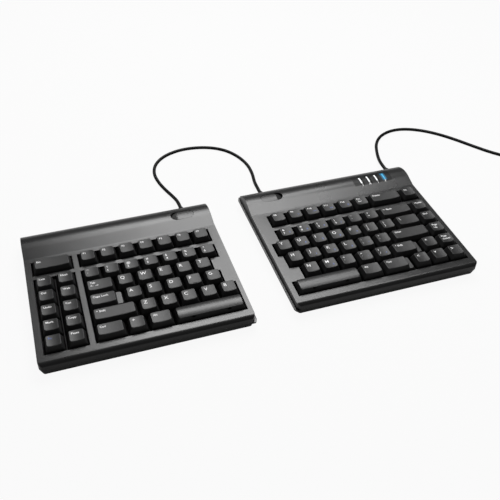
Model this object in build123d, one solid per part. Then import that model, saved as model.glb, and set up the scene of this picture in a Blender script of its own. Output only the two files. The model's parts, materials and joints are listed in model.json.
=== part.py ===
from build123d import *
from math import acos, atan2, cos, degrees, dist, pi, radians, sin, sqrt, tan
import os

# Ergonomic split keyboard: two low halves that stand side by side on a desk,
# joined by a link cord, with a cord to the computer from the right half.
# Millimetres. X runs along the width, Y to the back, Z up from the desk.
# Inside a half, x = 0 is the left edge of its main key block and y = 0 is
# the middle of its bottom row of keys.

# Key grid
pitch = 19.05
row_gap = 5.6
hot_gap = 5.7
hot_rib_gap = 0.64
key_gap = 0.85

# Keys of a row, and widths of wide keys in units of the pitch
top_row_keys = 7
letter_keys = 5
right_units = 9.5
tab_units = 1.5
caps_units = 1.75
shift_units = 2.25
ctrl_units = 1.5
alt_units = 1.25
space_units = 3.5
stepped_units = 1.5

# Heights above the desk
key_top = 22.0
key_height = 9.0
bezel_top = 16.0
parting = 8.3
frame_plate = 8.0
foot_drop = 1.6
floor_thick = 1.8
boss_height = 1.6

# Plan of the two cases
left_outer_margin = 6.7
left_inner_margin = 4.6
right_inner_margin = 5.5
right_outer_margin = 5.7
front_margin = 11.2
halves_gap = 41.3
right_setback = 1.5
corner_radius = 5.0
least_radius = 0.8
case_wall = 2.2

# Front lip and back brow of the upper case
lip_radius = 4.8
toe_gap = 5.9
toe_radius = 3.0
brow_slope = 17.0
brow_rise = 3.6
brow_radius = 28.6

# Lower case
under_taper = 20.0
ledge_width = 2.0
ledge_thick = 1.5
foot_radius = 5.0
foot_recess = 0.7
foot_side_gap = 30.0
foot_end_gap = 17.0
overrun = 2.2

# Screws that hold the two cases together, with round pieces drawn as even polygons
round_sides = 8
screw_radius = 1.45
screw_head_radius = 2.7
screw_head_height = 1.9
screw_sink = 2.2
screw_length = 8.0
post_radius = 3.1
boss_wall = 1.3
thread_clearance = 0.05
screw_side_gap = 13.0
screw_back_gap = 13.0

# Key wells
well_clearance = 0.45
well_wall = 1.2
rib_width = 0.8
rib_drop = 3.0

# Layers below the keys
backplate_thick = 0.8
membrane_thick = 0.4
sheet_thick = 0.6
layer_inset = 1.2
frame_thick = 1.6
frame_rim = 1.6
tube_height = 2.4
tube_wall = 1.2
dome_height = 3.4
dome_foot_radius = 4.2
dome_top_radius = 2.3
dome_sides = 4

# Keycaps
key_inset = 2.8
key_wall = 1.2
key_roof = 1.5
dish_depth = 0.5
stem_width = 5.0
stem_clearance = 0.4
step_drop = 4.5
crown_height = 1.3
homing_length = 4.0
homing_width = 0.9
homing_height = 0.4

# Stabiliser wires of the space bars
wire_radius = 0.6
wire_half_span = 24.0
wire_arm = 8.0
wire_pivot_back = 2.6
wire_axis_height = 13.15
wire_rise = 1.65
wire_end = 3.0
hook_wall = 1.4
hook_width = 1.6
wire_clearance = 0.15
clip_slot = 0.35
clip_width = 3.2
clip_offset = 16.8

# Release buttons in the brow
button_length = 24.0
button_width = 11.5
button_inner_gap = 29.5
button_back_gap = 24.6
button_clearance = 0.4
button_depth = 5.0
button_sink = 0.3
button_flange = 1.2
button_ramp = 2.2
button_ramp_length = 7.0

# Indicator panel, its light pipes and the two boards
panel_length = 46.0
panel_width = 17.5
panel_outer_gap = 43.0
panel_back_gap = 23.5
panel_thick = 1.1
panel_clearance = 0.15
window_count = 4
window_pitch = 9.5
pipe_width = 1.6
pipe_length = 10.5
pipe_clearance = 0.3
board_thick = 1.6
board_width = 22.0
board_toe_gap = 4.0
board_boss_radius = 2.0
controller_length = 74.0
controller_outer_gap = 14.0
link_board_length = 30.0
link_board_inner_gap = 53.5
chip_size = 9.0
chip_height = 1.2
led_size = 2.6
led_height = 1.5
tail_width = 20.0
tail_overlap = 4.0
controller_chip_shares = (0.1, 0.26)
link_chip_shares = (0.5,)

# Strain reliefs and cords
gland_collar_radius = 4.2
gland_collar_thick = 2.0
gland_neck_radius = 3.1
gland_tip_radius = 2.3
gland_nose = 2.4
gland_seat_depth = 4.6
gland_clearance = 0.05
link_left_gap = 25.0
link_right_gap = 25.6
usb_outer_gap = 10.2
cord_diameter = 3.8
exit_run = 11.0
bend_share = 0.45
coil_mean_diameter = 45.6
coil_pitch = 4.5
coil_whole_turns = 8
coil_end_heading = -180.0
arcs_per_turn = 4
gap_samples = 24
level_tolerance = 0.001

# Plug at the end of the cord
plug_length = 20.0
plug_width = 15.5
plug_thick = 8.0
plug_bevel = 1.4
plug_boot = 13.0
boot_width = 8.6
boot_thick = 6.6
boot_taper = 6.0
shell_length = 12.0
shell_width = 12.0
shell_thick = 4.5
shell_wall = 0.3
shell_seat = 2.0
tongue_thick = 1.9
tongue_setback = 0.5
plug_gap = 0.1

# Cord routes on the desk, from just past one exit to just before the other end
link_route = [
    (-47.0, 121.0, 3.6),
    (-51.5, 136.5, 1.9),
    (-56.0, 153.0, 1.9),
    (-57.6, 171.5, 1.9),
    (-51.8, 190.0, 1.9),
    (-36.5, 204.8, 1.9),
    (-13.0, 212.0, 1.9),
    (13.6, 208.8, 1.9),
    (34.4, 197.6, 1.9),
    (47.2, 179.6, 1.9),
    (53.8, 157.5, 1.9),
    (53.2, 137.5, 1.9),
    (49.6, 121.0, 3.8),
]
usb_route = [
    (208.5, 121.0, 4.2),
    (214.5, 137.0, 1.9),
    (221.5, 154.0, 1.9),
    (234.0, 168.5, 1.9),
    (251.5, 176.5, 1.9),
    (271.0, 176.0, 1.9),
    (290.5, 167.0, 1.9),
    (308.0, 152.5, 1.9),
    (323.0, 134.5, 1.9),
    (336.5, 115.0, 1.9),
    (350.5, 96.0, 1.9),
    (367.0, 80.0, 1.9),
    (386.0, 70.0, 1.9),
]

# Values worked out from the ones above
half_pitch = pitch / 2
letter_starts = (tab_units, caps_units, shift_units)
row_ends = [top_row_keys] * 2 + [start + letter_keys for start in letter_starts]
right_starts = [end - row_ends[2] for end in row_ends]
left_units = row_ends[4]
row_y = [5 * pitch + row_gap, 4 * pitch, 3 * pitch, 2 * pitch, pitch, 0]
front_y = -half_pitch - front_margin
toe_y = row_y[0] + half_pitch + toe_gap
slope_end_y = toe_y + brow_rise / tan(radians(brow_slope))
slope_end_z = bezel_top + brow_rise
arc_y = slope_end_y + brow_radius * sin(radians(brow_slope))
arc_z = slope_end_z - brow_radius * cos(radians(brow_slope))
back_y = arc_y + sqrt(brow_radius**2 - (parting - arc_z) ** 2)
brow_high = slope_end_z + brow_rise
hot_a = -hot_gap - hot_rib_gap - 2 * pitch
hot_b = -hot_gap - pitch
left_x0 = hot_a - left_outer_margin
left_x1 = left_units * pitch + left_inner_margin
right_x0 = -right_inner_margin
right_x1 = right_units * pitch + right_outer_margin
total_width = left_x1 - left_x0 + halves_gap + right_x1 - right_x0
mid_y = (front_y + back_y + right_setback) / 2
left_place = Pos(-total_width / 2 - left_x0, -mid_y, 0)
right_place = Pos(total_width / 2 - right_x1, right_setback - mid_y, 0)
base_z = foot_drop
floor_z = base_z + floor_thick
membrane_z = floor_z + backplate_thick
sheet_z = membrane_z + membrane_thick
dome_z = sheet_z + sheet_thick
frame_top = frame_plate + frame_thick
post_z = floor_z + boss_height
key_base = key_top - key_height
under_inset = (parting - base_z) * tan(radians(under_taper))
board_y0 = toe_y + board_toe_gap
controller_x1 = right_x1 - controller_outer_gap
controller_x0 = controller_x1 - controller_length
link_board_x1 = left_x1 - link_board_inner_gap
link_board_x0 = link_board_x1 - link_board_length
panel_x = right_x1 - panel_outer_gap
panel_y = back_y - panel_back_gap
window_xs = [panel_x + (n - (window_count - 1) / 2) * window_pitch for n in range(window_count)]
button_y = back_y - button_back_gap
button_low = slope_end_z - button_depth
wire_bar_y = wire_pivot_back - sqrt(wire_arm**2 - wire_rise**2)
wire_bar_z = wire_axis_height + wire_rise
wire_sides = (sqrt(2) * wire_radius, sqrt(2) * wire_radius)
cord_radius = cord_diameter / 2
cord_sides = (cord_radius * sqrt(pi), cord_radius * sqrt(pi))


def key_run(node, row, start, widths, style="plain"):
    """Keys side by side in one row, from a left edge on."""
    keys = []
    left = start
    for width in widths:
        keys.append(dict(node=node, row=row, x=left + width / 2, width=width, style=style))
        left += width
    return keys


def even_run(node, row, start, count):
    """Keys one unit wide from a place in units of the pitch."""
    return key_run(node, row, start * pitch, [pitch] * count)


def wide_key(node, row, start, end, style="plain"):
    """One key that fills its row between two places in units of the pitch."""
    return key_run(node, row, start * pitch, [(end - start) * pitch], style)


def hot_keys():
    """Two columns of hot keys, with the function-layer key at the outer bottom corner."""
    keys = []
    for row in range(1, 6):
        outer = "fn_key" if row == 5 else "left_hot_keys"
        keys += key_run(outer, row, hot_a, [pitch])
        keys += key_run("left_hot_keys", row, hot_b, [pitch])
    return keys


def home_run(node, start, count, homing):
    """A row of letter keys, one of which has the bar that a fingertip finds."""
    keys = even_run(node, 3, start, count)
    keys[homing]["style"] = "homing"
    return keys


def bottom_left_run():
    """Control, system and alt keys, and the space bar that fills the rest of the row."""
    alt_start = ctrl_units + 1
    space_start = alt_start + alt_units
    return (
        wide_key("left_ctrl_key", 5, 0, ctrl_units)
        + even_run("left_system_key", 5, ctrl_units, 1)
        + wide_key("left_alt_key", 5, alt_start, space_start)
        + wide_key("left_space_bar", 5, space_start, left_units, "space")
    )


def right_run(node, row, count, wide_node, end, style="plain"):
    """Keys from the inner end of a row of the right half, and the wide key that fills it up to a place."""
    start = right_starts[row]
    return even_run(node, row, start, count) + wide_key(wide_node, row, start + count, end, style)


left_keys = (
    key_run("esc_key", 0, hot_a, [2 * pitch + hot_rib_gap])
    + hot_keys()
    + even_run("left_function_keys", 0, 0, top_row_keys)
    + even_run("left_number_keys", 1, 0, top_row_keys)
    + wide_key("tab_key", 2, 0, tab_units)
    + even_run("left_upper_letter_keys", 2, tab_units, letter_keys)
    + wide_key("caps_lock_key", 3, 0, caps_units, "stepped")
    + home_run("left_home_letter_keys", caps_units, letter_keys, 3)
    + wide_key("left_shift_key", 4, 0, shift_units)
    + even_run("left_lower_letter_keys", 4, shift_units, letter_keys)
    + bottom_left_run()
)
last_column = right_units - 1
arrows_start = right_units - 3
right_keys = (
    right_run("right_function_keys", 0, 6, "delete_key", last_column)
    + even_run("right_function_keys", 0, last_column, 1)
    + right_run("right_number_keys", 1, 6, "backspace_key", last_column)
    + right_run("right_upper_letter_keys", 2, 7, "right_upper_letter_keys", last_column)
    + home_run("right_home_letter_keys", right_starts[3], 6, 1)
    + wide_key("enter_key", 3, right_starts[3] + 6, last_column)
    + right_run("right_lower_letter_keys", 4, letter_keys, "right_shift_key", arrows_start + 1, "stepped")
    + even_run("arrow_keys", 4, arrows_start + 1, 1)
    + wide_key("right_space_bar", 5, 0, space_units, "space")
    + wide_key("right_alt_key", 5, space_units, space_units + alt_units)
    + wide_key("right_ctrl_key", 5, space_units + alt_units, arrows_start, "stepped")
    + even_run("arrow_keys", 5, arrows_start, 3)
    + [key for row in (1, 2, 3, 4) for key in even_run("navigation_keys", row, last_column, 1)]
)


def rectangle(x0, x1, y0, y1):
    return Pos((x0 + x1) / 2, (y0 + y1) / 2) * Rectangle(x1 - x0, y1 - y0)


def raised(sketch, low, high):
    return extrude(Pos(0, 0, low) * sketch, high - low)


def discs(places, radius):
    return Sketch() + [Pos(x, y) * RegularPolygon(radius, round_sides) for x, y in places]


def rod(radius, length):
    """A small round piece that stands on the plane."""
    return extrude(RegularPolygon(radius, round_sides), length)


def key_edges(key):
    return key["x"] - key["width"] / 2, key["x"] + key["width"] / 2


def unbroken_runs(keys):
    """Row, left edge and right edge of each run of keys that stand side by side."""
    runs = []
    for key in sorted(keys, key=lambda key: (key["row"], key["x"])):
        left, right = key_edges(key)
        if runs and runs[-1][0] == key["row"] and left - runs[-1][2] < hot_gap / 2:
            runs[-1][2] = right
        else:
            runs.append([key["row"], left, right])
    return runs


def well_outline(keys, grow):
    """Plan of all wells, the keys in them grown by a clearance."""
    outline = Sketch()
    for row, x0, x1 in unbroken_runs(keys):
        y = row_y[row]
        outline += rectangle(x0 - grow, x1 + grow, y - half_pitch - grow, y + half_pitch + grow)
    return outline


def block_outline(keys, grow):
    """One rectangle round all keys of a half."""
    x0 = min(key_edges(key)[0] for key in keys) - grow
    x1 = max(key_edges(key)[1] for key in keys) + grow
    return rectangle(x0, x1, row_y[-1] - half_pitch - grow, row_y[0] + half_pitch + grow)


def case_plan(x0, x1, inset=0.0):
    radius = max(corner_radius - inset, least_radius)
    plan = RectangleRounded(x1 - x0 - 2 * inset, back_y - front_y - 2 * inset, radius)
    return Pos((x0 + x1) / 2, (front_y + back_y) / 2) * plan


def case_section():
    """Side view of an upper case: front lip, flat bezel, sloping toe and round brow."""
    turn = degrees(acos((back_y - arc_y) / brow_radius))
    bottom = parting - 2 * case_wall
    corners = Polyline(
        (back_y, parting),
        (back_y, bottom),
        (front_y, bottom),
        (front_y, bezel_top),
        (toe_y, bezel_top),
        (slope_end_y, slope_end_z),
    )
    brow = CenterArc((arc_y, arc_z), brow_radius, turn, 90 + brow_slope - turn)
    face = make_face([corners, brow])
    lip = face.vertices().sort_by_distance((front_y, bezel_top))[0]
    face = fillet(lip, lip_radius)
    toe = face.vertices().sort_by_distance((toe_y, bezel_top))[0]
    return fillet(toe, toe_radius)


def along_x(section, x0, x1):
    """A side view carried across the width."""
    return extrude(Plane(origin=(x0, 0, 0), x_dir=(0, 1, 0), z_dir=(1, 0, 0)) * section, x1 - x0)


def brow_body(x0, x1):
    """The outer form of an upper case, before it is hollowed."""
    return along_x(case_section(), x0, x1) & raised(case_plan(x0, x1), parting, brow_high)


def case_hollow(x0, x1):
    """The room inside an upper case, open below."""
    inner = offset(case_section(), -case_wall, kind=Kind.INTERSECTION)
    plan = raised(case_plan(x0, x1, case_wall), 0, brow_high)
    return along_x(inner, x0 + case_wall, x1 - case_wall) & plan


def tapered_tray(x0, x1, inset, low):
    """A block under the parting plane that draws in towards its foot."""
    top = Pos(0, 0, parting) * case_plan(x0, x1, inset)
    return extrude(top, parting - low, dir=(0, 0, -1), taper=under_taper)


def screw_places(x0, x1):
    front = front_y + under_inset + screw_head_radius + boss_wall
    back = back_y - screw_back_gap
    xs = (x0 + screw_side_gap, x1 - screw_side_gap)
    return [(x, y) for y in (front, back) for x in xs]


def foot_places(x0, x1):
    xs = (x0 + foot_side_gap, x1 - foot_side_gap)
    ys = (front_y + foot_end_gap, back_y - foot_end_gap)
    return [(x, y) for x in xs for y in ys]


def gland_pad(x, low, high):
    """Thicker wall that the collar of a strain relief seats against."""
    half = gland_collar_radius + case_wall
    y0 = back_y - gland_seat_depth
    return raised(rectangle(x - half, x + half, y0, back_y), low, high)


def gland_bore(x):
    """Room for a strain relief: its neck through the wall and its collar behind it."""
    axis = Pos(x, back_y + gland_nose, parting) * Rot(90, 0, 0)
    through = gland_nose + gland_seat_depth + gland_collar_thick
    bore = axis * rod(gland_neck_radius + gland_clearance, through)
    seat = Pos(x, back_y - gland_seat_depth, parting) * Rot(90, 0, 0)
    return bore + seat * rod(gland_collar_radius + gland_clearance, 2 * gland_collar_thick)


def gland(x):
    """Rubber strain relief: collar behind the wall, neck through it and a short tapered nose."""
    through = gland_collar_thick + gland_seat_depth
    body = rod(gland_collar_radius, gland_collar_thick) + rod(gland_neck_radius, through)
    lean = degrees(atan2(gland_neck_radius - gland_tip_radius, gland_nose))
    nose = Pos(0, 0, through) * RegularPolygon(gland_neck_radius, round_sides)
    body += extrude(nose, gland_nose, taper=lean)
    return Pos(x, back_y - through, parting) * Rot(-90, 0, 0) * body


def upper_case(x0, x1, keys, gland_xs, button_x):
    """Shell with wells down to the key frame, screw posts and a guide for the release button."""
    posts = discs(screw_places(x0, x1), post_radius)
    hollow = case_hollow(x0, x1)
    hollow -= raised(well_outline(keys, well_clearance + well_wall), frame_top, key_top)
    hollow -= raised(posts, 0, brow_high)
    hollow -= raised(button_plan(button_x, button_clearance + well_wall), button_low + button_sink, brow_high)
    for x in gland_xs:
        hollow -= gland_pad(x, 0, parting + gland_collar_radius + case_wall)
    case = brow_body(x0, x1) - hollow
    case += raised(posts, post_z, parting + case_wall)
    case -= raised(well_outline(keys, well_clearance), 0, key_top)
    case -= raised(button_plan(button_x, button_clearance), 0, brow_high)
    bores = discs(screw_places(x0, x1), screw_radius + thread_clearance)
    case -= raised(bores, 0, base_z + screw_sink + screw_length + thread_clearance)
    for x in gland_xs:
        case -= gland_bore(x)
    return case


def lower_case(x0, x1, inner_side, gland_xs, boards):
    """Tray that draws in below, with bosses, foot recesses and a ledge on the inner side."""
    cavity = tapered_tray(x0, x1, case_wall, floor_z)
    cavity -= raised(discs(screw_places(x0, x1), screw_head_radius + boss_wall), 0, post_z)
    cavity -= raised(discs(boss_places(*boards), board_boss_radius), 0, post_z)
    for x in gland_xs:
        cavity -= gland_pad(x, 0, parting)
    tray = tapered_tray(x0, x1, 0, base_z) - cavity
    edge = x1 if inner_side > 0 else x0
    reach = sorted((edge - inner_side * corner_radius, edge + inner_side * ledge_width))
    ledge = case_plan(x0, x1, -ledge_width) - case_plan(x0, x1, case_wall / 2)
    ledge &= rectangle(*reach, front_y, back_y)
    tray += raised(ledge, parting - ledge_thick, parting)
    places = screw_places(x0, x1)
    tray -= raised(discs(places, screw_head_radius + thread_clearance), 0, base_z + screw_sink)
    tray -= raised(discs(places, screw_radius + thread_clearance), 0, parting)
    tray -= raised(discs(foot_places(x0, x1), foot_radius), 0, base_z + foot_recess)
    for x in gland_xs:
        tray -= gland_bore(x)
    return tray


def screws(x0, x1):
    """Pan-head screws driven up from below."""
    seat = base_z + screw_sink
    group = []
    for place in screw_places(x0, x1):
        head = raised(discs([place], screw_head_radius), seat - screw_head_height, seat)
        shank = raised(discs([place], screw_radius), seat, seat + screw_length)
        group.append(head + shank)
    return group


def feet(x0, x1):
    return [raised(discs([place], foot_radius), 0, base_z + foot_recess) for place in foot_places(x0, x1)]


def key_squares(keys, width):
    return Sketch() + [Pos(k["x"], row_y[k["row"]]) * Rectangle(width, width) for k in keys]


def key_frame(keys, with_rib):
    """Plate with a guide tube for each key stem, on a rim that stands on the dome sheet."""
    hole = stem_width + 2 * stem_clearance
    frame = raised(block_outline(keys, well_clearance + well_wall), frame_plate, frame_top)
    rim = block_outline(keys, -layer_inset) - block_outline(keys, -layer_inset - frame_rim)
    frame += raised(rim, dome_z, frame_plate)
    frame += raised(key_squares(keys, hole + 2 * tube_wall), frame_top, frame_top + tube_height)
    if with_rib:
        frame += hot_rib()
    for key in keys:
        if key["style"] == "space":
            frame += wire_hooks(key["x"])
    return frame - raised(key_squares(keys, hole), 0, frame_top + tube_height + overrun)


def hot_rib():
    """Thin rib between the two columns of hot keys."""
    middle = hot_b - hot_rib_gap / 2
    plan = rectangle(
        middle - rib_width / 2, middle + rib_width / 2, row_y[-1] - half_pitch, row_y[1] + half_pitch
    )
    return raised(plan, frame_top, bezel_top - rib_drop)


def wire_hooks(x):
    """Two eyes on the key frame that carry the turned ends of a stabiliser wire."""
    eye = wire_radius + wire_clearance
    hooks = Part()
    for side in (-1, 1):
        middle = x + side * (wire_half_span - eye - hook_width / 2)
        plan = Pos(middle, wire_pivot_back) * Rectangle(hook_width, 2 * (eye + hook_wall))
        bore = Pos(middle, wire_pivot_back, wire_axis_height) * Rot(0, 90, 0)
        ear = raised(plan, frame_top, wire_axis_height + eye + hook_wall)
        hooks += ear - bore * Pos(0, 0, -hook_width) * rod(eye, 2 * hook_width)
    return hooks


def stabiliser_wire(x):
    """Wire bent to a wide U: the long bar clips to the key, the ends turn in the frame."""
    points = [
        (x - wire_half_span + wire_end, wire_pivot_back, wire_axis_height),
        (x - wire_half_span, wire_pivot_back, wire_axis_height),
        (x - wire_half_span, wire_bar_y, wire_bar_z),
        (x + wire_half_span, wire_bar_y, wire_bar_z),
        (x + wire_half_span, wire_pivot_back, wire_axis_height),
        (x + wire_half_span - wire_end, wire_pivot_back, wire_axis_height),
    ]
    path = FilletPolyline(*points, radius=2 * wire_radius)
    arm = (0, wire_bar_y - wire_pivot_back, wire_rise)
    start = Plane(origin=points[0], x_dir=arm, z_dir=(-1, 0, 0))
    return sweep(start * Rectangle(*wire_sides), path=path)


def trapezium(width, inset, top):
    """Corners of a key's side: foot left, foot right, top right, top left."""
    half = width / 2
    return [(-half, 0), (half, 0), (half - inset, top), (inset - half, top)]


def plain_view(width, inset, top):
    return make_face(Polyline(*trapezium(width, inset, top), close=True))


def arched_view(width, top, sag):
    """A key's side whose top edge is an arc: sunk in the middle, or raised by a negative sag."""
    foot_left, foot_right, right, left = trapezium(width, key_inset, top)
    sides = Polyline(left, foot_left, foot_right, right)
    return make_face([sides, ThreePointArc(right, (0, top - sag), left)])


def both_views(front_view, side_view, width, depth):
    """The form that fills a front view and a side view at once."""
    front = extrude(Plane.XZ * front_view, depth, both=True)
    side = extrude(Plane.YZ * side_view, width, both=True)
    return front & side


def under_hollow(width, depth, top):
    """The room under a keycap whose walls stay parallel to its sides."""
    inset = key_inset * top / key_height
    front = plain_view(width - 2 * key_wall, inset, top)
    side = plain_view(depth - 2 * key_wall, inset, top)
    return both_views(front, side, width, depth)


def key_stem():
    """Square stem that slides in the guide tube and ends on the rubber dome."""
    foot = dome_z + dome_height - key_base
    return raised(Rectangle(stem_width, stem_width), foot, key_height - key_roof)


def dished_form(width, depth):
    side = plain_view(depth, key_inset, key_height)
    return both_views(arched_view(width, key_height, dish_depth), side, width, depth)


def dished_key(width):
    depth = pitch - key_gap
    cap = dished_form(width, depth) - under_hollow(width, depth, key_height - key_roof)
    return cap + key_stem()


def homing_key(width):
    """A letter key with a small raised bar near the front of its dish."""
    middle = key_inset + homing_width - (pitch - key_gap) / 2
    bar = Pos(0, middle) * Rectangle(homing_length, homing_width)
    top = key_height - dish_depth
    return dished_key(width) + raised(bar, top - key_roof / 2, top + homing_height)


def stepped_key(width):
    """A narrower dished cap at the left of a low base that shows as a ledge at the right."""
    depth = pitch - key_gap
    step = key_height - step_drop
    cap_width = stepped_units * pitch - key_gap
    shift = Pos((cap_width - width) / 2, 0, 0)
    low_inset = key_inset * step / key_height
    low_view = plain_view(width, low_inset, step)
    cap = both_views(low_view, plain_view(depth, low_inset, step), width, depth)
    cap += shift * dished_form(cap_width, depth)
    cap -= under_hollow(width, depth, step - key_roof)
    cap -= shift * under_hollow(cap_width, depth, key_height - key_roof)
    return cap + key_stem()


def wire_clips(roof):
    """Forks under a space bar, open below, round the long bar of its wire."""
    slot = wire_radius + clip_slot
    middle = wire_bar_z - key_base
    clips = Part()
    for side in (-1, 1):
        plan = Pos(side * clip_offset, wire_bar_y) * Rectangle(clip_width, 2 * (slot + key_wall))
        gap = Pos(side * clip_offset, wire_bar_y) * Rectangle(2 * clip_width, 2 * slot)
        clips += raised(plan, middle - slot, roof + key_wall / 2) - raised(gap, 0, middle + slot)
    return clips


def space_bar(width):
    """Bar with a crowned top and the clips of its stabiliser wire."""
    depth = pitch - key_gap
    rim = key_height - crown_height
    crown = arched_view(depth, rim, -crown_height)
    form = both_views(plain_view(width, key_inset, key_height), crown, width, depth)
    roof = rim - key_roof
    cap = form - under_hollow(width, depth, roof)
    return cap + key_stem() + (wire_clips(roof) & form)


key_makers = dict(plain=dished_key, homing=homing_key, stepped=stepped_key, space=space_bar)
key_stock = {}


def keycap(key):
    """One keycap in its place, copied from the first of its width and style."""
    kind = (key["width"], key["style"])
    if kind not in key_stock:
        key_stock[kind] = key_makers[key["style"]](key["width"] - key_gap)
    return Pos(key["x"], row_y[key["row"]], key_base) * key_stock[kind]


def dome_sheet(keys):
    """Rubber sheet with a dome under every key."""
    foot = Pos(0, 0, dome_z) * RegularPolygon(dome_foot_radius, dome_sides)
    side_draw = (dome_foot_radius - dome_top_radius) * cos(pi / dome_sides)
    dome = extrude(foot, dome_height, taper=degrees(atan2(side_draw, dome_height)))
    sheet = raised(block_outline(keys, -layer_inset), sheet_z, dome_z)
    return sheet + [Pos(k["x"], row_y[k["row"]], 0) * dome for k in keys]


def membrane(keys, tail_x):
    """Printed contact sheet with a tail that reaches back under a board."""
    edge = row_y[0] + half_pitch - layer_inset
    half = tail_width / 2
    tail = rectangle(tail_x - half, tail_x + half, edge - tail_overlap, board_y0 + tail_overlap)
    return raised(block_outline(keys, -layer_inset) + tail, membrane_z, sheet_z)


def backplate(keys):
    return raised(block_outline(keys, -layer_inset), floor_z, membrane_z)


def boss_places(x0, x1):
    """Where the lower case carries a board, near its corners and clear of the membrane's tail."""
    near = board_y0 + tail_overlap + 2 * board_boss_radius
    far = board_y0 + board_width - board_boss_radius
    return [(x, y) for x in (x0 + board_boss_radius, x1 - board_boss_radius) for y in (near, far)]


def board(x0, x1, chip_shares):
    """Circuit board with its chips in a row."""
    top = post_z + board_thick
    body = raised(rectangle(x0, x1, board_y0, board_y0 + board_width), post_z, top)
    for share in chip_shares:
        chip = Pos(x0 + share * (x1 - x0), board_y0 + board_width / 2) * Rectangle(chip_size, chip_size)
        body += raised(chip, top, top + chip_height)
    return body


def window_marks(width, length):
    return Sketch() + [Pos(x, panel_y) * Rectangle(width, length) for x in window_xs]


def controller_board():
    top = post_z + board_thick
    lights = raised(window_marks(led_size, led_size), top, top + led_height)
    return board(controller_x0, controller_x1, controller_chip_shares) + lights


def panel_plan(grow):
    plan = RectangleRounded(panel_length + 2 * grow, panel_width + 2 * grow, least_radius + grow)
    return Pos(panel_x, panel_y) * plan


def brow_skin(plan, depth):
    """The outer layer of the right brow inside a plan."""
    body = brow_body(right_x0, right_x1)
    return (body & raised(plan, parting, brow_high)) - Pos(0, 0, -depth) * body


def indicator_panel():
    """Smoked strip let into the brow, with a light pipe down to the board under each window."""
    foot = post_z + board_thick + led_height + pipe_clearance
    pipes = raised(window_marks(pipe_width, pipe_length), foot, brow_high)
    return brow_skin(panel_plan(0), panel_thick) + (pipes & brow_body(right_x0, right_x1))


def with_panel_seat(case):
    """The right upper case with a recess for the panel and slots for its light pipes."""
    case -= brow_skin(panel_plan(panel_clearance), panel_thick + panel_clearance)
    slots = window_marks(pipe_width + 2 * pipe_clearance, pipe_length + 2 * pipe_clearance)
    return case - raised(slots, 0, brow_high)


def button_plan(x, grow=0.0):
    return Pos(x, button_y) * SlotOverall(button_length + 2 * grow, button_width + 2 * grow)


def release_button(x, low_side):
    """Oval button that follows the brow, ramped down at one end, on a retaining flange."""
    brow = along_x(case_section(), x - button_length, x + button_length)
    body = raised(button_plan(x), button_low, brow_high) & Pos(0, 0, -button_sink) * brow
    reach = button_length / 2
    ramp = Polyline(
        (x + low_side * (reach - button_ramp_length), brow_high),
        (x + low_side * (reach - button_ramp_length), slope_end_z + button_sink),
        (x + low_side * (reach + overrun), slope_end_z - button_ramp),
        (x + low_side * (reach + overrun), brow_high),
        close=True,
    )
    body -= Pos(0, back_y, 0) * extrude(Plane.XZ * make_face(ramp), back_y)
    flange = Pos(x, button_y) * Rectangle(button_length + 2 * button_flange, button_width + 2 * button_flange)
    return body + raised(flange, button_low - button_flange, button_low)


def turn_at(before, corner, after):
    """Angle in radians by which a route turns at a point."""
    return radians((Vector(corner) - Vector(before)).get_angle(Vector(after) - Vector(corner)))


def bend_radii(points):
    """The largest arc that the two runs at each corner allow."""
    radii = []
    for before, corner, after in zip(points, points[1:], points[2:]):
        shorter = min(dist(before, corner), dist(corner, after))
        radii.append(bend_share * shorter / tan(turn_at(before, corner, after) / 2))
    return radii


def tube_on(path):
    """A stretch of cord, as a square section of the round one's area that starts with level sides."""
    heading = path % 0
    start = Plane(origin=path @ 0, x_dir=heading.cross(Vector(0, 0, 1)), z_dir=heading)
    return sweep(start * Rectangle(*cord_sides), path=path)


def print_volume(tube, length):
    section = cord_sides[0] * cord_sides[1]
    print("  volume", round(tube.volume, 1), "of section times length", round(section * length, 1))


def cord_tube(name, points):
    """A free stretch of cord through its points."""
    radii = bend_radii(points)
    print(name, "radii", [round(radius, 1) for radius in radii])
    path = FilletPolyline(*points, radius=radii)
    tube = tube_on(path)
    print("  length", round(path.length, 1))
    print_volume(tube, path.length)
    return tube


def eased(share):
    return share * share * (3 - 2 * share)


def coil_angles(turned):
    """Winding angle of each layer, for a coil that turns the cord's heading by a given angle."""
    whole = 2 * pi * coil_whole_turns + turned
    return (whole - 2 * pi) / 2, whole


def coil_point(angle, layer):
    """Point of a coil wound clockwise: in on the desk, up a layer, out again and down to the plug."""
    rate = coil_pitch / (2 * pi)
    outer = coil_mean_diameter / 2 + rate * layer / 2
    inner = outer - rate * layer
    low = cord_radius
    high = cord_radius + coil_pitch
    if angle <= layer:
        radius, z = outer - rate * angle, low
    elif angle <= layer + pi:
        over = angle - layer
        radius, z = inner - rate * over + rate * over**2 / pi, low + coil_pitch * eased(over / pi)
    elif angle <= 2 * layer + pi:
        radius, z = inner + rate * (angle - layer - pi), high
    else:
        share = (angle - 2 * layer - pi) / pi
        radius = outer + coil_pitch / 2 * (share + eased(min(share, 1)))
        z = high - (high - plug_thick / 2) * eased(min(share, 1))
    return Vector(radius * cos(-angle), radius * sin(-angle), z)


def coil_heading(angle, layer):
    step = radians(1) / 10
    return (coil_point(angle + step, layer) - coil_point(angle - step, layer)).normalized()


def biarc(start, start_heading, end, end_heading):
    """Two arcs that meet smoothly and leave and arrive in given directions."""
    span = end - start
    both = start_heading + end_heading
    spread = 2 * (1 - start_heading.dot(end_heading))
    reach = (sqrt(span.dot(both) ** 2 + spread * span.dot(span)) - span.dot(both)) / spread
    first = start + start_heading * reach
    second = end - end_heading * reach
    middle = (first + second) / 2
    return [
        Edge.make_tangent_arc(start, start_heading, middle),
        Edge.make_tangent_arc(middle, second - first, end),
    ]


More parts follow.
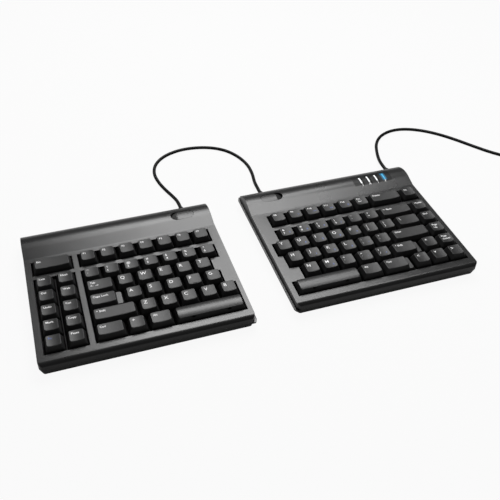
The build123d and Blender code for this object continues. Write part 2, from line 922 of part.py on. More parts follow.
def coil_path(start, heading):
    """The wound length from where the free stretch ends, with a short straight run at both ends."""
    turned = atan2(heading.Y, heading.X) - radians(coil_end_heading)
    layer, whole = coil_angles(turned)
    count = round(whole / (2 * pi) * arcs_per_turn)
    angles = [whole * n / count for n in range(count + 1)]
    points = [coil_point(angle, layer) for angle in angles]
    headings = [coil_heading(angle, layer) for angle in angles]
    headings[0] = Vector(headings[0].X, headings[0].Y, 0).normalized()
    headings[-1] = Vector(headings[-1].X, headings[-1].Y, 0).normalized()
    edges = [Edge.make_line(points[0] - headings[0] * cord_diameter, points[0])]
    for n in range(count):
        edges += biarc(points[n], headings[n], points[n + 1], headings[n + 1])
    edges.append(Edge.make_line(points[-1], points[-1] + headings[-1] * cord_diameter))
    turn = degrees(atan2(heading.Y, heading.X) - atan2(headings[0].Y, headings[0].X))
    turned_wire = Rot(0, 0, turn) * Wire(edges)
    return Pos(*(start - turned_wire @ 0)) * turned_wire


def level_runs(path):
    """The wound length cut where it starts or ends a climb, so that each layer's turns lie level."""
    runs = []
    for edge in path.order_edges():
        climbs = abs((edge @ 0).Z - (edge @ 1).Z) > level_tolerance
        if runs and runs[-1][0] == climbs:
            runs[-1][1].append(edge)
        else:
            runs.append((climbs, [edge]))
    return [Wire(edges) for climbs, edges in runs]


def coil_tube(path):
    """The wound cord as one unbroken tube."""
    tube = Part() + [tube_on(run) for run in level_runs(path)]
    print_volume(tube, path.length)
    return tube


def least_gap(path):
    """Smallest gap between turns, measured on points along the wound length."""
    edges = path.edges()
    points = []
    for edge in edges:
        points += [tuple(edge.position_at(n / gap_samples)) for n in range(gap_samples)]
    apart = arcs_per_turn * gap_samples
    return min(
        dist(points[a], points[b]) for a in range(len(points)) for b in range(a + apart, len(points))
    ) - cord_diameter


def plug(place):
    """Moulded plug: tapered boot, body and the tongue inside the metal shell."""
    neck = Plane.YZ.offset(plug_boot) * Rectangle(boot_width, boot_thick)
    boot = extrude(neck, plug_boot, dir=(-1, 0, 0), taper=boot_taper)
    face = chamfer(Rectangle(plug_width, plug_thick).vertices(), plug_bevel)
    body = extrude(Plane.YZ.offset(plug_boot) * face, plug_length) - plug_shell_form()
    tongue_width = shell_width - 4 * shell_wall
    tongue_z = (shell_thick - tongue_thick) / 2 - 2 * shell_wall
    tongue = Pos(0, tongue_z) * Rectangle(tongue_width, tongue_thick)
    tongue = extrude(Plane.YZ.offset(plug_boot + plug_length) * tongue, shell_length - tongue_setback)
    return place * (boot + body + tongue)


def plug_shell_form():
    """Rectangular metal sleeve that starts a little way inside the plug's body."""
    start = Plane.YZ.offset(plug_boot + plug_length - shell_seat)
    ring = Rectangle(shell_width, shell_thick)
    ring -= Rectangle(shell_width - 2 * shell_wall, shell_thick - 2 * shell_wall)
    return extrude(start * ring, shell_seat + shell_length)


def gland_exit(place, x):
    """The two first points of a cord: at the tip of its strain relief and straight out of it."""
    tip = place.position + Vector(x, back_y + gland_nose, parting)
    return [tuple(tip), tuple(tip + Vector(0, exit_run, 0))]


def save(node, shape, place=Pos(0, 0, 0)):
    """Writes a node from one solid or from several separate ones."""
    parts = shape if isinstance(shape, list) else [shape]
    solids = [place * solid for part in parts for solid in part.solids()]
    export_step(Compound(label=node, children=solids), f"parts/{node}.step")


def save_keys(keys, place):
    for node in dict.fromkeys(key["node"] for key in keys):
        save(node, [keycap(key) for key in keys if key["node"] == node], place)


def save_half(side, x0, x1, keys, gland_xs, button_x, inner_side, boards, place, finish_case):
    """Everything that the two halves have alike."""
    case = finish_case(upper_case(x0, x1, keys, gland_xs, button_x))
    save(f"{side}_top_case", case, place)
    save(f"{side}_bottom_case", lower_case(x0, x1, inner_side, gland_xs, boards), place)
    save(f"{side}_screws", screws(x0, x1), place)
    save(f"{side}_feet", feet(x0, x1), place)
    save(f"{side}_key_frame", key_frame(keys, inner_side > 0), place)
    save(f"{side}_dome_sheet", dome_sheet(keys), place)
    save(f"{side}_membrane", membrane(keys, sum(boards) / 2), place)
    save(f"{side}_backplate", backplate(keys), place)
    save(f"{side}_release_button", release_button(button_x, -inner_side), place)
    save_keys(keys, place)
    for key in keys:
        if key["style"] == "space":
            save(f"{side}_space_wire", stabiliser_wire(key["x"]), place)


os.makedirs("parts", exist_ok=True)

left_gland_x = left_x1 - link_left_gap
right_gland_x = right_x0 + link_right_gap
usb_gland_x = right_x1 - usb_outer_gap
left_boards = (link_board_x0, link_board_x1)
right_boards = (controller_x0, controller_x1)
left_button_x = left_x1 - button_inner_gap
right_button_x = right_x0 + button_inner_gap

save_half(
    "left", left_x0, left_x1, left_keys, [left_gland_x],
    left_button_x, 1, left_boards, left_place, lambda case: case,
)
save_half(
    "right", right_x0, right_x1, right_keys, [right_gland_x, usb_gland_x],
    right_button_x, -1, right_boards, right_place, with_panel_seat,
)
save("left_strain_relief", gland(left_gland_x), left_place)
save("right_strain_relief", gland(right_gland_x), right_place)
save("usb_strain_relief", gland(usb_gland_x), right_place)
save("left_link_board", board(*left_boards, link_chip_shares), left_place)
save("controller_board", controller_board(), right_place)
save("indicator_panel", indicator_panel(), right_place)

link_points = gland_exit(left_place, left_gland_x) + link_route
link_points += reversed(gland_exit(right_place, right_gland_x))
save("link_cord", cord_tube("link cord", link_points))
usb_points = gland_exit(right_place, usb_gland_x) + usb_route
save("usb_cord", cord_tube("usb cord", usb_points))

coil_start = Vector(usb_points[-1])
coil_heading_in = (coil_start - Vector(usb_points[-2])).normalized()
wound = coil_path(coil_start, coil_heading_in)
print("coil length", round(wound.length, 1), "least gap", round(least_gap(wound), 3))
save("usb_coil", coil_tube(wound))
coil_heading_out = wound % 1
plug_start = wound @ 1 + coil_heading_out * plug_gap
plug_place = Pos(*plug_start) * Rot(0, 0, degrees(atan2(coil_heading_out.Y, coil_heading_out.X)))
save("usb_plug", plug(plug_place))
save("usb_plug_shell", plug_shell_form(), plug_place)
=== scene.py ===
import json
from math import atan2, cos, pi, radians, sin

import bmesh
import bpy
from mathutils import Matrix, Vector
from mathutils.bvhtree import BVHTree


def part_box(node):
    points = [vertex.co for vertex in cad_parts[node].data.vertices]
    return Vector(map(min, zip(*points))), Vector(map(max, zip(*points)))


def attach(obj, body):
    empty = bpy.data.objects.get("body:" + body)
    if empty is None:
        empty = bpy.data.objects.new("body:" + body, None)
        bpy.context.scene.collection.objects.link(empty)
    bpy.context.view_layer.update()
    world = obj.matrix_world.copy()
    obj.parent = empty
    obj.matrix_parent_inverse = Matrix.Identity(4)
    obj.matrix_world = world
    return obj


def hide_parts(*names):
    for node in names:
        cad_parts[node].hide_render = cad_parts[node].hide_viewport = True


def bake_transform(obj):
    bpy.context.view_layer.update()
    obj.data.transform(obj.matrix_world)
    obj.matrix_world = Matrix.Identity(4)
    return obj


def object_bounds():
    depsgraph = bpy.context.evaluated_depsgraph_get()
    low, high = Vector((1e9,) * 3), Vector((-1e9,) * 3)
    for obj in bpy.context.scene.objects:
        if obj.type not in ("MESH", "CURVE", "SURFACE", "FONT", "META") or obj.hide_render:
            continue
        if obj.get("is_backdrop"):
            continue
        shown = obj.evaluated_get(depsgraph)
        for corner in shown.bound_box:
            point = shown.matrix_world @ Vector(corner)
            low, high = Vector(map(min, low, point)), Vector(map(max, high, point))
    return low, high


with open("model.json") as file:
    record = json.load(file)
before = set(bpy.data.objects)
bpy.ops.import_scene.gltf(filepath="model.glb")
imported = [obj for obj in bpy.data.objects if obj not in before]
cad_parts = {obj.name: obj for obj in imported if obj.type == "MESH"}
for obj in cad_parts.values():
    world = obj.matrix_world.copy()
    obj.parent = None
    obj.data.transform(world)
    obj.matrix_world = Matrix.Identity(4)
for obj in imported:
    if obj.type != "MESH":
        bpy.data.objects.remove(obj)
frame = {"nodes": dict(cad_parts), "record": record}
nodes = frame["nodes"]
bodies = frame["record"]["behaviour"]["bodies"]
body_of_node = {node: body for body, members in bodies.items() for node in members}
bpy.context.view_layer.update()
mm = 0.001


# Shader nodes. A Channel is a socket whose sums and products make Math nodes,
# and a Paint is one material with its Principled shader.
class Channel:
    def __init__(self, paint, socket):
        self.paint = paint
        self.socket = socket

    def math(self, operation, first, second=None):
        sockets = {0: first} if second is None else {0: first, 1: second}
        return self.paint.add("ShaderNodeMath", {"operation": operation}, sockets)

    def __add__(self, other):
        return self.math("ADD", self, other)

    def __radd__(self, other):
        return self.math("ADD", other, self)

    def __sub__(self, other):
        return self.math("SUBTRACT", self, other)

    def __rsub__(self, other):
        return self.math("SUBTRACT", other, self)

    def __mul__(self, other):
        return self.math("MULTIPLY", self, other)

    def __rmul__(self, other):
        return self.math("MULTIPLY", other, self)

    def larger(self, other):
        return self.math("MAXIMUM", self, other)


class Paint:
    def __init__(self, name):
        self.material = bpy.data.materials.new(name)
        self.material.use_nodes = True
        self.tree = self.material.node_tree
        self.shader = self.tree.nodes["Principled BSDF"]
        self.output = self.tree.nodes["Material Output"]

    def add(self, kind, settings, sockets, output=0):
        node = self.tree.nodes.new(kind)
        for name, value in settings.items():
            setattr(node, name, value)
        for key, value in sockets.items():
            self.put(node.inputs[key], value)
        return Channel(self, node.outputs[output])

    def put(self, socket, value):
        if isinstance(value, Channel):
            self.tree.links.new(value.socket, socket)
        else:
            socket.default_value = value

    def set(self, **sockets):
        for name, value in sockets.items():
            self.put(self.shader.inputs[name.replace("_", " ")], value)

    def place(self):
        return self.add("ShaderNodeTexCoord", {}, {}, "Object")

    def noise(self, size, detail=2.0):
        sockets = {"Vector": self.place(), "Scale": 1 / size, "Detail": detail}
        return self.add("ShaderNodeTexNoise", {}, sockets)

    def cells(self, size):
        sockets = {"Vector": self.place(), "Scale": 1 / size}
        return self.add("ShaderNodeTexVoronoi", {"feature": "SMOOTH_F1"}, sockets)

    def blend(self, share, first, second):
        sockets = {"Factor": share, "A": first, "B": second}
        return self.add("ShaderNodeMix", {"data_type": "RGBA"}, sockets, "Result")

    def bump(self, height, distance, strength=1.0):
        sockets = {"Height": height, "Distance": distance, "Strength": strength}
        return self.add("ShaderNodeBump", {}, sockets)


def shade(level, tint=(1.0, 1.0, 1.0)):
    return (level * tint[0], level * tint[1], level * tint[2], 1.0)


# Camera. It stands to the left in front of the halves and looks down at them,
# with the roll and the lens that the key rows of the photograph call for.
azimuth = radians(-19.287)
elevation = radians(41.778)
roll = radians(1.481)
lens_pixels = 700.437
image_pixels = 500.0
sensor = 36.0
camera_distance = 693.674 * mm
target = Vector((0.864, -10.101, 22.0)) * mm

back = Vector((sin(azimuth) * cos(elevation), -cos(azimuth) * cos(elevation), sin(elevation)))
clip_near = 0.01
clip_far = 20.0
level_right = (-back).cross(Vector((0, 0, 1))).normalized()
level_up = level_right.cross(-back)
right = cos(roll) * level_right + sin(roll) * level_up
up = cos(roll) * level_up - sin(roll) * level_right
camera_data = bpy.data.cameras.new("camera")
camera_data.sensor_width = sensor
camera_data.lens = lens_pixels * sensor / image_pixels
camera_data.clip_start = clip_near
camera_data.clip_end = clip_far
camera = bpy.data.objects.new("camera", camera_data)
bpy.context.scene.collection.objects.link(camera)
turn = Matrix((right, up, back)).transposed().to_4x4()
camera.matrix_world = Matrix.Translation(target + camera_distance * back) @ turn
bpy.context.scene.camera = camera
bpy.context.scene.view_settings.view_transform = "Standard"


# Plastics. A fine moulded grain carries every case and key, with a slow change
# of gloss over it, as handled plastic has.
cloud_size = 38 * mm
cloud_detail = 3.0
colour_change = 0.14
gloss_change = 0.1


def moulded(name, level, roughness, grain, depth, gloss=0.5, tint=(1.0, 1.0, 1.02)):
    paint = Paint(name)
    paint.set(Specular_IOR_Level=gloss)
    cloud = paint.noise(cloud_size, cloud_detail)
    fine = paint.cells(grain)
    dark = shade((1 - colour_change) * level, tint)
    pale = shade((1 + colour_change) * level, tint)
    paint.set(Base_Color=paint.blend(cloud, dark, pale))
    paint.set(Roughness=roughness - gloss_change / 2 + gloss_change * cloud)
    paint.set(Normal=paint.bump(fine, depth))
    return paint.material


case_plastic = moulded("case plastic", 0.009, 0.29, 0.55 * mm, 0.02 * mm)
lower_plastic = moulded("lower case plastic", 0.005, 0.26, 0.6 * mm, 0.01 * mm)
# A much paler plastic for the ledge's outer strip: a painted highlight along that edge.
ledge_highlight_plastic = moulded("painted ledge highlight", 0.075, 0.4, 0.6 * mm, 0.01 * mm)
key_plastic = moulded("key plastic", 0.014, 0.4, 0.45 * mm, 0.02 * mm, 0.34)
bar_plastic = moulded("space bar plastic", 0.014, 0.36, 0.45 * mm, 0.02 * mm)
# Key skirts, hollows and stems: the same plastic as the tops, painted paler as painted light on
# the sides.
lit_skirt_plastic = moulded("key skirt plastic", 0.019, 0.45, 0.45 * mm, 0.03 * mm, 0.34)
inner_plastic = moulded("inner plastic", 0.003, 0.6, 0.6 * mm, 0.03 * mm, 0.25)
button_plastic = moulded("button plastic", 0.008, 0.34, 0.45 * mm, 0.02 * mm)
panel_plastic = moulded("panel plastic", 0.005, 0.34, 0.5 * mm, 0.015 * mm, 0.25)


# Rubber, film, steel and the circuit boards.
soft_cloud_size = 9 * mm
soft_cloud_detail = 4.0
soft_change = 0.2
soft_gloss_change = 0.12
soft_grain = 0.5 * mm
soft_depth = 0.04 * mm


def rubber(name, level, roughness, tint=(1.0, 1.0, 1.0)):
    paint = Paint(name)
    cloud = paint.noise(soft_cloud_size, soft_cloud_detail)
    dark = shade((1 - soft_change) * level, tint)
    pale = shade((1 + soft_change) * level, tint)
    paint.set(Base_Color=paint.blend(cloud, dark, pale))
    paint.set(Roughness=roughness + soft_gloss_change * cloud)
    paint.set(Normal=paint.bump(paint.noise(soft_grain), soft_depth))
    return paint.material


streak_scale = (900.0, 60.0, 900.0)
streak_change = 0.12
streak_depth = 0.01 * mm
streak_dark = 0.85
streak_pale = 1.1


def steel(name, level, roughness):
    paint = Paint(name)
    sockets = {"Vector": paint.place(), "Scale": streak_scale}
    stretched = paint.add("ShaderNodeMapping", {}, sockets)
    sockets = {"Vector": stretched, "Scale": 1.0, "Detail": 2.0}
    streaks = paint.add("ShaderNodeTexNoise", {}, sockets)
    colour = paint.blend(streaks, shade(streak_dark * level), shade(streak_pale * level))
    paint.set(Base_Color=colour, Metallic=1.0)
    paint.set(Roughness=roughness - streak_change / 2 + streak_change * streaks)
    paint.set(Normal=paint.bump(streaks, streak_depth))
    return paint.material


cord_jacket = moulded("cord jacket", 0.002, 0.42, 0.45 * mm, 0.002 * mm, 0.16)
foot_rubber = rubber("foot rubber", 0.03, 0.7)
dome_rubber = rubber("dome rubber", 0.55, 0.6, (1.0, 1.0, 0.96))
film = rubber("membrane film", 0.6, 0.25, (0.94, 1.0, 1.02))
plate_steel = steel("plate steel", 0.6, 0.36)
bright_steel = steel("bright steel", 0.72, 0.24)
dark_steel = steel("dark steel", 0.25, 0.35)

track_size = 1.6 * mm
track_depth = 0.02 * mm
dark_green = (0.01, 0.07, 0.03, 1)
pale_green = (0.03, 0.16, 0.06, 1)
board_paint = Paint("circuit board")
tracks = board_paint.cells(track_size)
board_paint.set(Base_Color=board_paint.blend(tracks, dark_green, pale_green))
board_paint.set(Roughness=0.35, Normal=board_paint.bump(tracks, track_depth))
board_green = board_paint.material

finishes = {
    "upper_case": case_plastic,
    "lower_case": lower_plastic,
    "key_plastic": key_plastic,
    "button_plastic": button_plastic,
    "panel_plastic": panel_plastic,
    "inner_plastic": inner_plastic,
    "dome_rubber": dome_rubber,
    "membrane_film": film,
    "steel_plate": plate_steel,
    "screw_steel": dark_steel,
    "wire_steel": bright_steel,
    "foot_rubber": foot_rubber,
    "circuit_board": board_green,
    "cord_rubber": cord_jacket,
    "plug_shell": bright_steel,
}
slot_of_node = {part["node"]: part["material_slot"] for part in frame["record"]["subparts"]}
for name, node in nodes.items():
    node.data.materials.clear()
    node.data.materials.append(finishes[slot_of_node[name]])


# Cords. Both leave their strain reliefs straight back and lie on the desk. The
# link cord bends between the halves, and the long one ends in its coil and plug
# at the right, out of the camera's view.
cord_diameter = 3.8
exit_run = 11.0
cord_sides = 6
cord_steps = 10
left_link_tip = (-44.811, 92.054, 8.3)
right_link_tip = (47.089, 93.554, 8.3)
usb_tip = (203.464, 93.554, 8.3)
link_route = [
    (-47.0, 121.0, 3.6),
    (-51.5, 136.5, 1.9),
    (-56.0, 153.0, 1.9),
    (-57.6, 171.5, 1.9),
    (-51.8, 190.0, 1.9),
    (-36.5, 204.8, 1.9),
    (-13.0, 212.0, 1.9),
    (13.6, 208.8, 1.9),
    (34.4, 197.6, 1.9),
    (47.2, 179.6, 1.9),
    (53.8, 157.5, 1.9),
    (53.2, 137.5, 1.9),
    (49.6, 121.0, 3.8),
]
usb_route = [
    (208.5, 121.0, 4.2),
    (214.5, 137.0, 1.9),
    (221.5, 154.0, 1.9),
    (234.0, 168.5, 1.9),
    (251.5, 176.5, 1.9),
    (271.0, 176.0, 1.9),
    (290.5, 167.0, 1.9),
    (308.0, 152.5, 1.9),
    (323.0, 134.5, 1.9),
    (336.5, 115.0, 1.9),
    (350.5, 96.0, 1.9),
    (367.0, 80.0, 1.9),
    (386.0, 70.0, 1.9),
]
coil_mean_diameter = 45.6
coil_pitch = 4.5
coil_whole_turns = 8
coil_end_heading = -180.0
coil_low = 1.9
coil_exit = 4.0
points_per_turn = 16


def behind(tip):
    return (tip[0], tip[1] + exit_run, tip[2])


def eased(share):
    return (1 - cos(pi * share)) / 2


def coil_points(start, heading):
    """Two layers of turns, in from the outside and out again on top, then a turn that drops."""
    turned = heading - radians(coil_end_heading)
    whole = 2 * pi * coil_whole_turns + turned
    layer = (whole - 2 * pi) / 2
    rate = coil_pitch / (2 * pi)
    outer = coil_mean_diameter / 2 + rate * layer / 2
    inner = outer - rate * layer
    high = coil_low + coil_pitch

    def at(angle):
        if angle <= layer:
            radius, z = outer - rate * angle, coil_low
        elif angle <= layer + pi:
            over = angle - layer
            radius = inner - rate * over + rate * over**2 / pi
            z = coil_low + coil_pitch * eased(over / pi)
        elif angle <= 2 * layer + pi:
            radius, z = inner + rate * (angle - layer - pi), high
        else:
            share = (angle - 2 * layer - pi) / pi
            radius = outer + coil_pitch / 2 * (share + eased(min(share, 1)))
            z = high - (high - coil_exit) * eased(min(share, 1))
        return Vector((radius * cos(-angle), radius * sin(-angle), z))

    step = 2 * pi / points_per_turn
    count = round(whole / step)
    spots = [at(whole * n / count) for n in range(count + 1)]
    small = 0.01
    first = at(small) - at(0)
    last = at(whole) - at(whole - small)
    ahead = Vector((first.x, first.y, 0)).normalized()
    behind_end = Vector((last.x, last.y, 0)).normalized()
    spots = [spots[0] - ahead * cord_diameter] + spots + [spots[-1] + behind_end * cord_diameter]
    spin = Matrix.Rotation(heading - atan2(ahead.y, ahead.x), 3, "Z")
    return [spin @ (spot - spots[0]) + Vector(start) for spot in spots]


def cord_curve(name, points):
    curve = bpy.data.curves.new(name, "CURVE")
    curve.dimensions = "3D"
    curve.bevel_depth = cord_diameter / 2 * mm
    curve.bevel_resolution = cord_sides
    curve.resolution_u = cord_steps
    spline = curve.splines.new("NURBS")
    spline.points.add(len(points) - 1)
    for spot, point in zip(spline.points, points):
        spot.co = (point[0] * mm, point[1] * mm, point[2] * mm, 1.0)
    spline.order_u = 3
    spline.use_endpoint_u = True
    curve.materials.append(cord_jacket)
    piece = bpy.data.objects.new(name, curve)
    bpy.context.scene.collection.objects.link(piece)
    return piece


def mesh_of_curve(piece):
    bpy.context.view_layer.update()
    depsgraph = bpy.context.evaluated_depsgraph_get()
    return bpy.data.meshes.new_from_object(piece.evaluated_get(depsgraph))


link_points = [left_link_tip, behind(left_link_tip)] + link_route
link_points += [behind(right_link_tip), right_link_tip]
link_line = cord_curve("link_line", link_points)
link_mesh = mesh_of_curve(link_line)
link_line.data.bevel_depth = 0.0
link_path = [tuple(v.co) for v in mesh_of_curve(link_line).vertices]
bpy.data.objects.remove(link_line)
link_mesh.shade_smooth()
link_cord = bpy.data.objects.new("link_cord_tube", link_mesh)
bpy.context.scene.collection.objects.link(link_cord)
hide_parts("link_cord")
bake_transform(link_cord)

heading_in = atan2(usb_route[-1][1] - usb_route[-2][1], usb_route[-1][0] - usb_route[-2][0])
usb_points = [usb_tip, behind(usb_tip)] + usb_route + coil_points(usb_route[-1], heading_in)[1:]
usb_cord = cord_curve("usb_cord_line", usb_points)
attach(usb_cord, "right_half")
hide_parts("usb_cord", "usb_coil")


# Cases and release buttons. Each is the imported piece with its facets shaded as
# the round faces that they stand for.
merge_distance = 0.002 * mm
flat_angle = radians(0.5)
edge_angle = radians(30.0)


def shaded_copy(name):
    mesh = nodes[name].data.copy()
    work = bmesh.new()
    work.from_mesh(mesh)
    bmesh.ops.remove_doubles(work, verts=work.verts, dist=merge_distance)
    bmesh.ops.dissolve_limit(
        work, angle_limit=flat_angle, verts=work.verts, edges=work.edges
    )
    work.to_mesh(mesh)
    work.free()
    if "custom_normal" in mesh.attributes:
        mesh.attributes.remove(mesh.attributes["custom_normal"])
    mesh.shade_smooth()
    mesh.set_sharp_from_angle(angle=edge_angle)
    piece = bpy.data.objects.new(f"{name}_skin", mesh)
    bpy.context.scene.collection.objects.link(piece)
    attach(piece, body_of_node[name])
    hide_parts(name)
    return piece


def highlighted_ledge(piece, inner):
    """The ledge's top slopes out a little, and its outer strip is painted paler, a painted
    highlight where the edge catches the light.
    """
    mesh = piece.data
    edge = max(inner * v.co.x for v in mesh.vertices)
    for v in mesh.vertices:
        if abs(v.co.z - ledge_top) < ledge_near and inner * v.co.x > edge - ledge_near:
            v.co.z -= ledge_draft
    work = bmesh.new()
    work.from_mesh(mesh)
    everything = work.verts[:] + work.edges[:] + work.faces[:]
    # The outer strip is split off and takes the paler paint of the painted highlight.
    cut = Vector((inner * (edge - highlight_width), 0, 0))
    bmesh.ops.bisect_plane(work, geom=everything, plane_co=cut, plane_no=(1, 0, 0))
    for face in work.faces:
        middle = face.calc_center_median()
        near_top = abs(middle.z - ledge_top) < ledge_draft + ledge_near
        on_top = face.normal.z > upright and near_top
        if on_top and inner * middle.x > edge - highlight_width:
            face.material_index = 1
    work.to_mesh(mesh)
    work.free()
    mesh.materials.append(ledge_highlight_plastic)


ledge_top = 8.3 * mm
ledge_near = 0.1 * mm
ledge_draft = 0.34 * mm
highlight_width = 1.2 * mm
upright = 0.9
for side, inner in (("left", 1), ("right", -1)):
    shaded_copy(f"{side}_top_case")
    highlighted_ledge(shaded_copy(f"{side}_bottom_case"), inner)
    shaded_copy(f"{side}_release_button")


# Keycaps. Each is a hollow tapered cap with rounded corners and edges and a
# stem. Its top is sunk along its depth, or raised on the space bars, and three
# are stepped at the right.
cap_height = 9.0 * mm
cap_inset = 2.8 * mm
cap_dish = 0.5 * mm
cap_crown = 1.3 * mm
cap_edge = 0.55 * mm
foot_corner = 0.5 * mm
top_corner = 1.7 * mm
key_wall = 1.2 * mm
key_roof = 1.5 * mm
step_height = 4.5 * mm
stepped_width = 27.725 * mm
stem_width = 5.0 * mm
clip_offset = 16.8 * mm
clip_width = 3.2 * mm
clip_slot = 0.95 * mm
clip_height = 1.8 * mm
clip_forward = 5.228 * mm
corner_parts = 5
side_parts = 8
wall_shares = (0.0, 0.5, 0.97, 1.0)
edge_shares = (0.33, 0.67, 1.0)
top_shares = (0.98, 0.93, 0.8, 0.62, 0.4, 0.18)
corner_limit_share = 0.98
homing_half_length = 2.0 * mm
homing_front = 3.4 * mm
homing_back = 4.2 * mm
homing_sunk = 0.2 * mm
homing_rise = 0.35 * mm
back_lean = 1.5 * mm
stepped_nodes = ("caps_lock_key", "right_shift_key", "right_ctrl_key")
space_nodes = ("left_space_bar", "right_space_bar")
leaned_nodes = ("left_number_keys", "right_number_keys", "backspace_key")
homing_nodes = {"left_home_letter_keys": 3, "right_home_letter_keys": 1}
key_nodes = [name for name, slot in slot_of_node.items() if slot == "key_plastic"]


def loose_boxes(name):
    """The box of each separate solid of a node, rows from the back, each from the left."""
    work = bmesh.new()
    work.from_mesh(nodes[name].data)
    bmesh.ops.remove_doubles(work, verts=work.verts, dist=merge_distance)
    left_over = set(work.verts)
    boxes = []
    while left_over:
        front = [left_over.pop()]
        found = list(front)
        while front:
            vert = front.pop()
            for edge in vert.link_edges:
                other = edge.other_vert(vert)
                if other in left_over:
                    left_over.remove(other)
                    front.append(other)
                    found.append(other)
        low = Vector([min(v.co[axis] for v in found) for axis in range(3)])
        high = Vector([max(v.co[axis] for v in found) for axis in range(3)])
        boxes.append((low, high))
    work.free()
    return sorted(boxes, key=lambda box: (-round(box[0].y, 3), box[0].x))


def rounded_loop(half_x, half_y, corner):
    """Points round a rectangle with round corners, counter-clockwise."""
    corner = min(corner, half_x * corner_limit_share, half_y * corner_limit_share)
    corners = []
    for quarter in range(4):
        side_x = 1 if quarter in (0, 3) else -1
        side_y = 1 if quarter in (0, 1) else -1
        middle = Vector((side_x * (half_x - corner), side_y * (half_y - corner)))
        angles = [pi / 2 * (quarter + part / corner_parts) for part in range(corner_parts + 1)]
        corners.append([middle + corner * Vector((cos(angle), sin(angle))) for angle in angles])
    loop = []
    for this, following in zip(corners, corners[1:] + corners[:1]):
        loop += this
        loop += [this[-1].lerp(following[0], n / side_parts) for n in range(1, side_parts)]
    return loop


def add_cap(work, centre, half_x, half_y, foot_z, height, style, drawn=0.0):
    """One cap of loops: up its hollow, out at the foot, up its walls and over its top."""
    inset = cap_inset * height / cap_height
    top_x, top_y = half_x - inset, half_y - inset
    rim = height - cap_crown if style == "space" else height

    def surface(x, y):
        if style == "dished":
            return rim - cap_dish * (1 - min(1, (x / top_x) ** 2))
        if style == "space":
            return rim + cap_crown * (1 - min(1, (y / top_y) ** 2))
        return rim

    rings = []
    for z in (rim - key_roof, 0.0):
        grow = key_wall + cap_inset * z / cap_height
        loop = rounded_loop(half_x - grow, half_y - grow, foot_corner)
        rings.append([(x, y, z) for x, y in loop])
    foot_ring = len(rings)
    for share in wall_shares:
        z = share * (rim - cap_edge)
        grow = cap_inset * z / cap_height
        corner = foot_corner + (top_corner - foot_corner) * share
        loop = rounded_loop(half_x - grow, half_y - grow, corner)
        rings.append([(x, y, z) for x, y in loop])
    edge_ring = len(rings)
    for turn_share in edge_shares:
        lean = pi / 2 * turn_share
        inward = cap_inset * (rim - cap_edge) / cap_height + cap_edge * (1 - cos(lean))
        loop = rounded_loop(half_x - inward, half_y - inward, top_corner)
        drop = cap_edge * (1 - sin(lean))
        rings.append([(x, y, surface(x, y) - drop) for x, y in loop])
    inner_x = half_x - inward
    inner_y = half_y - inward
    for share in top_shares:
        loop = rounded_loop(inner_x * share, inner_y * share, top_corner * share)
        rings.append([(x, y, surface(x, y)) for x, y in loop])
    verts = []
    for ring in rings:
        loop = []
        for x, y, z in ring:
            forward = drawn * min(1, z / rim) * max(0, y) / half_y
            spot = (centre.x + x, centre.y + y - forward, foot_z + z)
            loop.append(work.verts.new(spot))
        verts.append(loop)
    count = len(verts[0])
    for number in range(1, len(verts)):
        lower, upper = verts[number - 1], verts[number]
        for n in range(count):
            after = (n + 1) % count
            face = work.faces.new((lower[n], lower[after], upper[after], upper[n]))
            face.smooth = number > foot_ring
            # Faces below the top's edge take the skirt paint, which is painted paler as painted
            # light.
            face.material_index = 0 if number >= edge_ring else 1
    lid = work.faces.new(verts[-1])
    lid.smooth = True
    roof = work.faces.new(list(reversed(verts[0])))
    roof.material_index = 1


def add_block(work, low, high, material_index):
    corners = [(x, y, z) for z in (low.z, high.z) for x, y in (
        (low.x, low.y), (high.x, low.y), (high.x, high.y), (low.x, high.y))]
    verts = [work.verts.new(corner) for corner in corners]
    sides = [(0, 1, 5, 4), (1, 2, 6, 5), (2, 3, 7, 6), (3, 0, 4, 7), (4, 5, 6, 7), (3, 2, 1, 0)]
    for side in sides:
        face = work.faces.new([verts[n] for n in side])
        face.material_index = material_index


def add_clips(work, middle, foot_z, under_roof):
    """Two forks under a space bar, each open below round the bar of its wire."""
    clip_top = foot_z + under_roof + key_roof / 2
    slot_low = foot_z + clip_height - clip_slot
    slot_high = foot_z + clip_height + clip_slot
    bar_y = middle.y - clip_forward
    for side in (-1, 1):
        near_x = middle.x + side * clip_offset - clip_width / 2
        far_x = near_x + clip_width
        front_y, back_y = bar_y - clip_slot, bar_y + clip_slot
        low_y, high_y = front_y - key_wall, back_y + key_wall
        for near, far in (
            ((near_x, low_y, slot_low), (far_x, front_y, clip_top)),
            ((near_x, back_y, slot_low), (far_x, high_y, clip_top)),
            ((near_x, low_y, slot_high), (far_x, high_y, clip_top)),
        ):
            add_block(work, Vector(near), Vector(far), 1)


